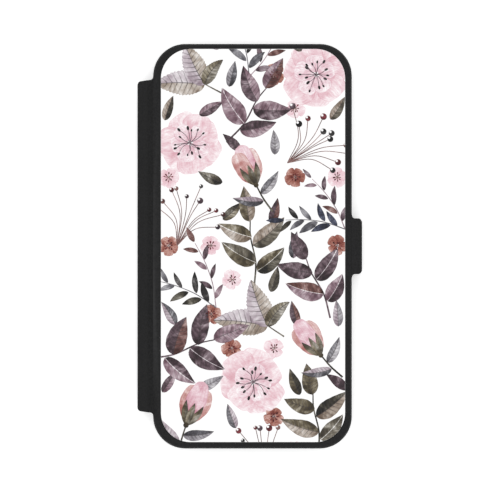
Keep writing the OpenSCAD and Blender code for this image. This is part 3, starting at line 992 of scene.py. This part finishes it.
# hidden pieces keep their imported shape
for node, material in (("back_board", board), ("front_board", board), ("back_keeper", steel),
                       ("strap_magnet", steel), ("tray_adhesive", tape)):
    mesh = frame["nodes"][node].data
    mesh.materials.clear()
    mesh.materials.append(material)
print("tray made")


# printed panel

panel = {"width": 70.0, "length": 149.4, "radius": 11.2, "x": coverX + 0.2, "y": 0.28, "edge": 0.07}
panelTop = heightOf("print_panel", 1)
panelPiece = slab("printedPanel", paper,
                  roundRect(panel["width"], panel["length"], panel["radius"], panel["x"], panel["y"], 24),
                  heightOf("print_panel", 0), panelTop, 0.0, panel["edge"])
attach(panelPiece, "front_cover")
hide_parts("print_panel")

washes = {name: linear(*screen) for name, screen in {
    "ink": (44, 42, 42), "darkOlive": (58, 54, 44), "olive": (104, 95, 76), "oliveGrey": (104, 98, 86),
    "slate": (98, 97, 103), "fog": (164, 161, 166), "plum": (88, 70, 78), "mauve": (146, 122, 132),
    "lilac": (176, 163, 171), "taupe": (158, 145, 133), "russet": (112, 78, 74),
    "rust": (150, 92, 80), "blush": (234, 204, 211), "pink": (219, 178, 189), "dust": (206, 164, 161),
    "wine": (112, 44, 52), "night": (40, 44, 62),
    "white": (252, 250, 250)}.items()}

# p and q shape a leaf towards its base and tip; the rest drives the watercolour
looks = {
    "leaf": {"p": 0.62, "q": 1.05, "veins": 9, "ink": 0.85, "gap": 0, "streak": 0.65, "edge": 0.6},
    "split": {"p": 0.6, "q": 1.05, "veins": 9, "ink": 0.6, "gap": 1, "streak": 0.65, "edge": 0.5},
    "saw": {"p": 0.55, "q": 0.95, "veins": 10, "ink": 1.0, "gap": 0, "streak": 0.5, "edge": 0.9, "teeth": 15},
    "slim": {"p": 0.75, "q": 1.0, "veins": 0, "ink": 0.25, "gap": 0, "streak": 0.5, "edge": 0.25},
    "petal": {"p": 0.5, "q": 0.3, "veins": 0, "ink": 0, "gap": 0, "streak": 0.45, "edge": 0.7, "ruffle": 0.05},
}


class Sheet:
    # flat shapes on the panel, each corner with the attributes that the inks read
    def __init__(self, seed, shift):
        self.shift = shift  # keeps one sheet's heights off another's
        self.verts, self.faces, self.washes, self.lifts = [], [], [], []
        self.data = {"along": [], "flow": [], "rib": [], "mark": []}
        self.random = random.Random(seed)
        self.count = 0

    def grid(self, rows, layer, info, closed=False):
        start = len(self.verts)
        count = len(rows[0])
        self.count += 1
        # no two shapes share a height where they cross
        lift = 0.014 * layer + 0.001 * (self.count % 13) + self.shift
        for row in rows:
            for x, y, s, t, reach, density, wash in row:
                self.verts.append((x, y))
                self.washes.append(wash)
                self.lifts.append(lift)
                self.data["along"].append((s, t, reach))
                self.data["flow"].append((density, info["seed"], info.get("streak", 0)))
                self.data["rib"].append((info.get("veins", 0), info.get("spacing", 1), info.get("ink", 0)))
                self.data["mark"].append((info.get("gap", 0), info.get("edge", 0), info.get("bleed", 1)))
        for i in range(len(rows) if closed else len(rows) - 1):
            for j in range(count - 1):
                a = start + i * count + j
                b = start + (i + 1) % len(rows) * count + j
                self.faces.append((a, a + 1, b + 1, b))
        if closed:
            self.faces.append([start + i * count for i in range(len(rows))])

    def leaf(self, base, tip, width, wash, wash2=None, look="leaf", bend=0.0, density=(1.5, 0.85, 1.15), layer=3,
             **changes):
        shape = {**looks[look], **changes}
        wash2 = wash2 or wash
        base, tip = Vector(base), Vector(tip)
        length = (tip - base).length
        ahead = (tip - base) / length
        aside = Vector((-ahead.y, ahead.x))
        middle = (base + tip) / 2 + aside * bend * length
        p, q = shape["p"], shape["q"]
        peak = (p / (p + q)) ** p * (q / (p + q)) ** q
        teeth = shape.get("teeth", 0)
        rows = teeth * 4 if teeth else (24 if length > 8 else 14)
        columns = (-1, -0.72, -0.4, -0.06, 0.06, 0.4, 0.72, 1)
        wobble = self.random.uniform(0, 6)
        lines = []
        for i in range(rows + 1):
            s = i / rows
            spot = base.lerp(middle, s).lerp(middle.lerp(tip, s), s)
            along = (middle - base).lerp(tip - middle, s).normalized()
            out = Vector((-along.y, along.x))
            half = width / 2 * (max(s, 1e-4) ** p * max(1 - s, 1e-4) ** q) / peak
            ragged = 1 + shape.get("ruffle", 0.025) * math.sin(9 * s + wobble)
            ragged += 0.012 * math.sin(33 * s + 2 * wobble)
            amount = density[0] + (density[1] - density[0]) * min(1, 2 * s)
            amount += (density[2] - density[1]) * max(0, 2 * s - 1)
            line = []
            for t in columns:
                reach = half * ragged
                lean = 0.0
                if teeth and abs(t) == 1 and 0.05 < s < 0.97:
                    phase = (s * teeth + (0.5 if t > 0 else 0)) % 1
                    reach *= 1 + 0.13 * (phase - 0.5)
                    lean = 0.35 * phase
                point = spot + out * t * reach + along * lean * width * 0.06
                line.append((point.x, point.y, s, t, reach, amount, washes[wash if t < 0 else wash2]))
            lines.append(line)
        veins = max(0, round(shape["veins"] * (0.8 + 0.2 * min(1.5, length / 16)))) if shape["veins"] else 0
        info = {**shape, "veins": veins, "spacing": length / max(veins, 1),
                "seed": round(self.random.uniform(0, 1), 3)}
        self.grid(lines, layer, info)

    def stem(self, points, width, wash, density=1.0, layer=2, taper=0.5):
        points = [Vector(p) for p in points]
        ends = [points[0] * 2 - points[1]] + points + [points[-1] * 2 - points[-2]]
        path = []
        for i in range(1, len(ends) - 2):
            a, b, c, d = ends[i - 1:i + 3]
            for k in range(6):
                t = k / 6
                path.append(0.5 * ((2 * b) + (c - a) * t + (2 * a - 5 * b + 4 * c - d) * t * t
                                   + (3 * b - a - 3 * c + d) * t * t * t))
        path.append(points[-1])
        lines = []
        for i, spot in enumerate(path):
            along = (path[min(i + 1, len(path) - 1)] - path[max(i - 1, 0)]).normalized()
            out = Vector((-along.y, along.x))
            s = i / (len(path) - 1)
            half = width / 2 * (1 - taper * s)
            lines.append([(spot.x + out.x * t * half, spot.y + out.y * t * half, s, t, half, density,
                           washes[wash]) for t in (-1, 1)])
        self.grid(lines, layer, {"seed": round(self.random.uniform(0, 1), 3), "streak": 0.3, "bleed": 1})

    def disc(self, centre, radius, wash, density=1.0, layer=5, shine=0.5, stretch=1.0, angle=0.0):
        c, n = Vector(centre), 16
        lines = []
        for k in range(n):
            a = 2 * math.pi * k / n
            line = []
            for t in (0.08, 0.45, 0.8, 1):
                flat = Vector((math.cos(a) * stretch, math.sin(a))) * t * radius
                turned = Vector((flat.x * math.cos(angle) - flat.y * math.sin(angle),
                                 flat.x * math.sin(angle) + flat.y * math.cos(angle)))
                lit = max(0.0, math.cos(a - 2.2)) * t
                line.append((c.x + turned.x, c.y + turned.y, 0.5, t, radius,
                             density * (1 - 0.55 * shine * lit), washes[wash]))
            lines.append(line)
        self.grid(lines, layer, {"seed": round(self.random.uniform(0, 1), 3), "edge": 0.4, "bleed": 1}, True)
        if shine > 0.3:
            spot = c + Vector((-0.42, 0.42)) * radius
            lines = [[(spot.x + math.cos(2 * math.pi * k / 10) * t * radius * 0.38,
                       spot.y + math.sin(2 * math.pi * k / 10) * t * radius * 0.38, 0.5, 0, radius, 0.05,
                       washes["white"]) for t in (0.08, 1)] for k in range(10)]
            self.grid(lines, layer + 1, {"seed": 0, "bleed": 0}, True)

    # leaflets in pairs or turns along a stem
    def sprig(self, points, count, size, colours, look="slim", spread=48, first=0.12, stemWidth=0.35,
              stemWash="slate", layer=3, width=0.3):
        self.stem(points, stemWidth, stemWash, 0.9)
        path = [Vector(p) for p in points]
        lengths = [(b - a).length for a, b in zip(path, path[1:])]
        total = sum(lengths)
        for i in range(count):
            share = first + (1 - first) * i / max(count - 1, 1)
            left, k = share * total, 0
            while k < len(lengths) - 1 and left > lengths[k]:
                left -= lengths[k]
                k += 1
            at = path[k].lerp(path[k + 1], min(1, left / lengths[k]))
            ahead = (path[k + 1] - path[k]).normalized()
            side = 0 if i == count - 1 else (1 if i % 2 else -1)
            turn = math.radians(side * spread * self.random.uniform(0.75, 1.2))
            way = Vector((ahead.x * math.cos(turn) - ahead.y * math.sin(turn),
                          ahead.x * math.sin(turn) + ahead.y * math.cos(turn)))
            reach = size * self.random.uniform(0.8, 1.15) * (1 - 0.25 * share)
            wash = colours[self.random.randrange(len(colours))]
            self.leaf(at + way * 0.5, at + way * (reach + 0.5), reach * width * self.random.uniform(0.9, 1.15),
                      wash, wash, look, bend=-0.1 * side + self.random.uniform(-0.04, 0.04),
                      density=(1.4, 0.8, 1.25), layer=layer)

    def blossom(self, centre, radius, petals, wash, density, layer, start=0, wide=1.0, tip=0.4, hollow=0.1,
                streak=0.5, span=360):
        c = Vector(centre)
        for i in range(petals):
            a = math.radians(start + span * i / petals + self.random.uniform(-9, 9))
            way = Vector((math.cos(a), math.sin(a)))
            reach = radius * self.random.uniform(0.88, 1.08)
            self.leaf(c + way * radius * hollow, c + way * reach, reach * wide, wash, wash, "petal",
                      bend=self.random.uniform(-0.08, 0.08), streak=streak,
                      density=(density * 1.3, density, density * tip), layer=layer + (i % 2))

    def stamens(self, centre, radius, count, wash, dotWash, layer=5, dot=0.45, start=0, span=360):
        c = Vector(centre)
        for i in range(count):
            a = math.radians(start + span * i / count + self.random.uniform(-10, 10))
            reach = radius * self.random.uniform(0.6, 1.1)
            end = c + Vector((math.cos(a), math.sin(a))) * reach
            sway = a + self.random.uniform(-0.32, 0.32)
            bow = c + Vector((math.cos(sway), math.sin(sway))) * reach * 0.5
            self.stem([c, bow, end], 0.26, wash, 0.9, layer, taper=0.3)
            size = dot * self.random.uniform(0.7, 1.2)
            self.disc(end, size, dotWash, 1.2, layer, shine=0, stretch=1.7, angle=a)

    # a plain closed bud: three petals in a short cup of sepals
    def bud(self, base, tip):
        base, tip = Vector(base), Vector(tip)
        ahead = tip - base
        length = ahead.length
        ahead = ahead / length
        aside = Vector((ahead.y, -ahead.x))

        def at(forward, sideways):
            return base + ahead * forward * length + aside * sideways * length

        for side, width, wash, dense in ((-0.14, 0.42, "dust", 1.2), (0.14, 0.42, "dust", 0.9),
                                         (0, 0.44, "pink", 1.1)):
            self.leaf(at(0.02, 0), at(0.98 - abs(side), side), length * width, wash, wash, "petal",
                      bend=-side * 0.8, density=(dense * 1.6, dense, dense * 0.7), layer=3, streak=0.7, q=0.4)
        for side in (-0.2, 0.2, 0):
            self.leaf(at(-0.05, 0), at(0.48, side), length * 0.15, "oliveGrey", "olive", "slim",
                      bend=-side * 0.6, density=(1.4, 0.9, 1.2), layer=5)
        self.disc(at(-0.05, 0), length * 0.06, "olive", 1.5, 5, shine=0.3)

    def piece(self, name, inset=0.06):
        # the shapes are trimmed at the panel's outline, then thickened down onto it
        mesh = bpy.data.meshes.new(name)
        placed = [((x + panel["x"]) * mm, (y + panel["y"]) * mm, 0) for x, y in self.verts]
        mesh.from_pydata(placed, [], self.faces)
        layers = {"wash": mesh.attributes.new("wash", "FLOAT_COLOR", "POINT")}
        layers["wash"].data.foreach_set("color", [c for w in self.washes for c in (*w, 1)])
        for key, values in self.data.items():
            flat = [c for v in values for c in v]
            mesh.attributes.new(key, "FLOAT_VECTOR", "POINT").data.foreach_set("vector", flat)
        mesh.attributes.new("lift", "FLOAT", "POINT").data.foreach_set("value", self.lifts)
        bm = bmesh.new()
        bm.from_mesh(mesh)
        w, l, r = panel["width"] - 2 * inset, panel["length"] - 2 * inset, panel["radius"] - inset
        edge = roundRect(w, l, r, panel["x"], panel["y"], 10)
        for x, y, nx, ny in edge:
            bmesh.ops.bisect_plane(bm, geom=bm.verts[:] + bm.edges[:] + bm.faces[:], dist=1e-7,
                                   plane_co=Vector((x, y, 0)) * mm, plane_no=(nx, ny, 0), clear_outer=True)
        bmesh.ops.dissolve_degenerate(bm, dist=0.002 * mm, edges=bm.edges)
        for v in bm.verts:
            v.co.z = (panelTop - 0.004) * mm
        lift = bm.verts.layers.float["lift"]
        grown = bmesh.ops.extrude_face_region(bm, geom=bm.faces[:], use_keep_orig=True)
        for v in grown["geom"]:
            if isinstance(v, bmesh.types.BMVert):
                v.co.z = (panelTop + 0.01 + v[lift]) * mm
        bmesh.ops.recalc_face_normals(bm, faces=bm.faces)
        bm.to_mesh(mesh)
        bm.free()
        mesh.materials.append(inks)
        piece = addPiece(name, mesh)
        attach(piece, "front_cover")
        print(name, len(mesh.polygons), "faces")
        return piece


# the print is a half-drop repeat: a spot in every cell, turned by seeded chance, and small fillings in the gaps
repeat = {"across": 24.0, "down": 26.0, "turn": 70, "seed": 71, "swell": (0.98, 1.14)}
families = {"olive": ("darkOlive", "oliveGrey", "olive", "taupe"), "plum": ("plum", "mauve", "russet", "plum"),
            "fog": ("fog", "slate", "lilac"), "dark": ("ink", "slate", "darkOlive", "night")}

flowers = Sheet(11, 0)
leaves = Sheet(23, 0.00033)
sprigs = Sheet(37, 0.00066)
draw = random.Random(repeat["seed"])


# a motif's own frame: its middle at (0, 0), growing along v
class Spot:
    def __init__(self, x, y, turn, size=1.0):
        self.x, self.y, self.turn, self.size = x, y, math.radians(turn), size

    def at(self, u, v):
        c, s = math.cos(self.turn) * self.size, math.sin(self.turn) * self.size
        return self.x + u * c - v * s, self.y + u * s + v * c

    def path(self, *points):
        return [self.at(u, v) for u, v in points]

    def along(self, u, v, lean, length):
        lean = math.radians(lean)
        return self.at(u, v), self.at(u + length * math.sin(lean), v + length * math.cos(lean))


# broad leaves in turns up a stem
def leafBranch(spot, family, stemWash):
    leaves.stem(spot.path((-2, -15), (0, -6), (-0.4, 3), (0.4, 9)), 0.7, stemWash, 1.1, 2, 0.4)
    for v, side, length in ((-9, 1, 12.5), (-6, -1, 14.5), (0, 1, 14.5), (3, -1, 13), (8.5, 0, 12.5)):
        base, tip = spot.along(0, v, side * draw.uniform(46, 64), length * draw.uniform(0.92, 1.08))
        leaves.leaf(base, tip, length * draw.uniform(0.42, 0.5) * spot.size, draw.choice(families[family]),
                    draw.choice(families[family]), draw.choice(("leaf", "leaf", "split")), -0.09 * side)


def toothedLeaves(spot):
    leaves.stem(spot.path((1, -14), (0.4, -9), (0, -5)), 0.6, "oliveGrey", 1.1)
    for lean, length, width, wash, wash2 in ((-34, 20, 9.4, "lilac", "taupe"), (30, 18, 8.8, "taupe", "lilac"),
                                             (92, 12, 5.2, "oliveGrey", "olive")):
        base, tip = spot.along(0, -7, lean, length)
        leaves.leaf(base, tip, width * spot.size, wash, wash2, "saw", 0.002 * lean, density=(1.2, 0.6, 0.85))


def openBlossom(spot, radius):
    middle, start = spot.at(0, 0), math.degrees(spot.turn)
    flowers.blossom(middle, radius, 7, "blush", 1.1, 0, start=start, wide=0.95, tip=0.5, streak=0.9)
    flowers.blossom(middle, radius * 0.64, 5, "pink", 0.6, 2, start=start + 30, wide=0.9, tip=0.6, streak=0.8)
    flowers.stamens(middle, radius * 0.5, 14, "plum", "ink", 5, radius * 0.034)


def smallBlossom(spot, wash):
    middle, start = spot.at(0, 0), math.degrees(spot.turn)
    flowers.blossom(middle, 3.9, 5, wash, 0.9, 0, start=start, wide=0.95, tip=0.65, streak=0.8)
    flowers.stamens(middle, 1.6, 8, "russet", "wine", 4, 0.25)


def budStem(spot):
    flowers.stem(spot.path((2.4, -15), (0.8, -9), (0, -3)), 0.75, "darkOlive", 1.1, 2, 0.3)
    flowers.bud(spot.at(0, -2.5), spot.at(-0.6, 13.5))
    for v, lean, length, wash in ((-7, 58, 11, "fog"), (-10, -64, 12, "lilac")):
        base, tip = spot.along(0.6, v, lean, length)
        leaves.leaf(base, tip, 3.8 * spot.size, wash, "slate", "leaf", -0.002 * lean)


def berrySpray(spot, colours):
    count = 11
    for k in range(count):
        lean = math.radians(-58 + 116 * k / (count - 1) + draw.uniform(-5, 5))
        reach = draw.uniform(11, 20)
        end = spot.at(math.sin(lean) * reach, -9 + math.cos(lean) * reach)
        bow = spot.at(math.sin(lean) * reach * 0.34, -9 + math.cos(lean) * reach * 0.5)
        sprigs.stem([spot.at(0, -13), bow, end], 0.26, "russet", 1.0, 2, 0)
        sprigs.disc(end, draw.uniform(0.75, 1.25), draw.choice(colours), 1.3, 5, shine=0.8)


def leafletSprigs(spot):
    for lean, count, size, family, wash in ((-20, 9, 8.2, "dark", "slate"), (28, 7, 7.4, "plum", "mauve")):
        side = Spot(*spot.at(0, -13), math.degrees(spot.turn) - lean, spot.size)
        sprigs.sprig(side.path((0, 0), (1, 8), (0.4, 16), (-1.2, 23)), count, size, families[family],
                     spread=46, stemWash=wash, stemWidth=0.4)


def looseLeaf(spot, family):
    base, tip = spot.along(0, -4.5, 0, 9.5)
    leaves.leaf(base, tip, 3.6 * spot.size, draw.choice(families[family]), draw.choice(families[family]), "leaf",
                draw.uniform(-0.1, 0.1), layer=1)


motifs = (lambda spot: leafBranch(spot, "olive", "darkOlive"), lambda spot: openBlossom(spot, 12.5),
          leafletSprigs, budStem, toothedLeaves, lambda spot: berrySpray(spot, ("wine", "ink", "plum", "russet")),
          lambda spot: leafBranch(spot, "plum", "plum"))
fillings = (lambda spot: smallBlossom(spot, "blush"), lambda spot: looseLeaf(spot, "fog"),
            lambda spot: looseLeaf(spot, "olive"), lambda spot: smallBlossom(spot, "rust"),
            lambda spot: looseLeaf(spot, "plum"))


def scatter(makers, places, pick):
    for i, (column, row, x, y) in enumerate(places):
        spot = Spot(x, y, draw.uniform(-1, 1) * repeat["turn"], draw.uniform(*repeat["swell"]))
        makers[pick(column, row, i) % len(makers)](spot)


across, down = repeat["across"], repeat["down"]
cells = [(c, r, c * across, (r + 0.5 * (c % 2)) * down) for c in (-1, 0, 1) for r in range(-3, 4)]
gaps = [(c, r, c * across / 3, (r + 0.5 * (abs(c) == 1)) * down)
        for c in (-4, -2, -1, 1, 2, 4) for r in range(-3, 4)]
scatter(motifs, cells, lambda column, row, i: 3 * row + 2 * column)
scatter(fillings, gaps, lambda column, row, i: i + row)
flowers.piece("printedFlowers")
leaves.piece("printedLeaves")
sprigs.piece("printedSprigs")
print("print made")


# floor, light and camera

stageLook = {"floor": 0.97, "floorGlow": 0.34, "floorSize": 2.5, "sky": 0.62,
             "softbox": 9.0, "softboxSize": 0.9, "softboxHeight": 1.3}
camera = {"lens": 300, "sensor": 36, "view": 0.190, "x": 0.000175, "y": -0.00143}

bm = bmesh.new()
bmesh.ops.create_grid(bm, x_segments=1, y_segments=1, size=stageLook["floorSize"])
for v in bm.verts:
    v.co.z = -0.00005
mesh = bpy.data.meshes.new("floor")
bm.to_mesh(mesh)
bm.free()
floorShader = Shader("paleFloor")
mesh.materials.append(floorShader.finish((stageLook["floor"],) * 3, 0.9, Specular_IOR_Level=0.0,
                                         Emission_Color=(1, 1, 1), Emission_Strength=stageLook["floorGlow"]))
floor = addPiece("floor", mesh)

world = bpy.data.worlds.new("studio")
world.use_nodes = True
world.node_tree.nodes["Background"].inputs["Color"].default_value = (1, 1, 1, 1)
world.node_tree.nodes["Background"].inputs["Strength"].default_value = stageLook["sky"]
bpy.context.scene.world = world

lamp = bpy.data.lights.new("softbox", "AREA")
lamp.shape = "DISK"
lamp.size = stageLook["softboxSize"]
lamp.energy = stageLook["softbox"]
softbox = bpy.data.objects.new("softbox", lamp)
softbox.location = (0, 0, stageLook["softboxHeight"])
softbox.visible_camera = False
bpy.context.scene.collection.objects.link(softbox)

lens = bpy.data.cameras.new("camera")
lens.lens = camera["lens"]
lens.sensor_width = camera["sensor"]
lens.clip_end = 20
eye = bpy.data.objects.new("camera", lens)
eye.location = (camera["x"], camera["y"], frontTop * mm + camera["view"] * camera["lens"] / camera["sensor"])
bpy.context.scene.collection.objects.link(eye)
bpy.context.scene.camera = eye
bpy.context.scene.view_settings.view_transform = "Standard"
bpy.context.scene.view_settings.look = "None"

print("stage made")
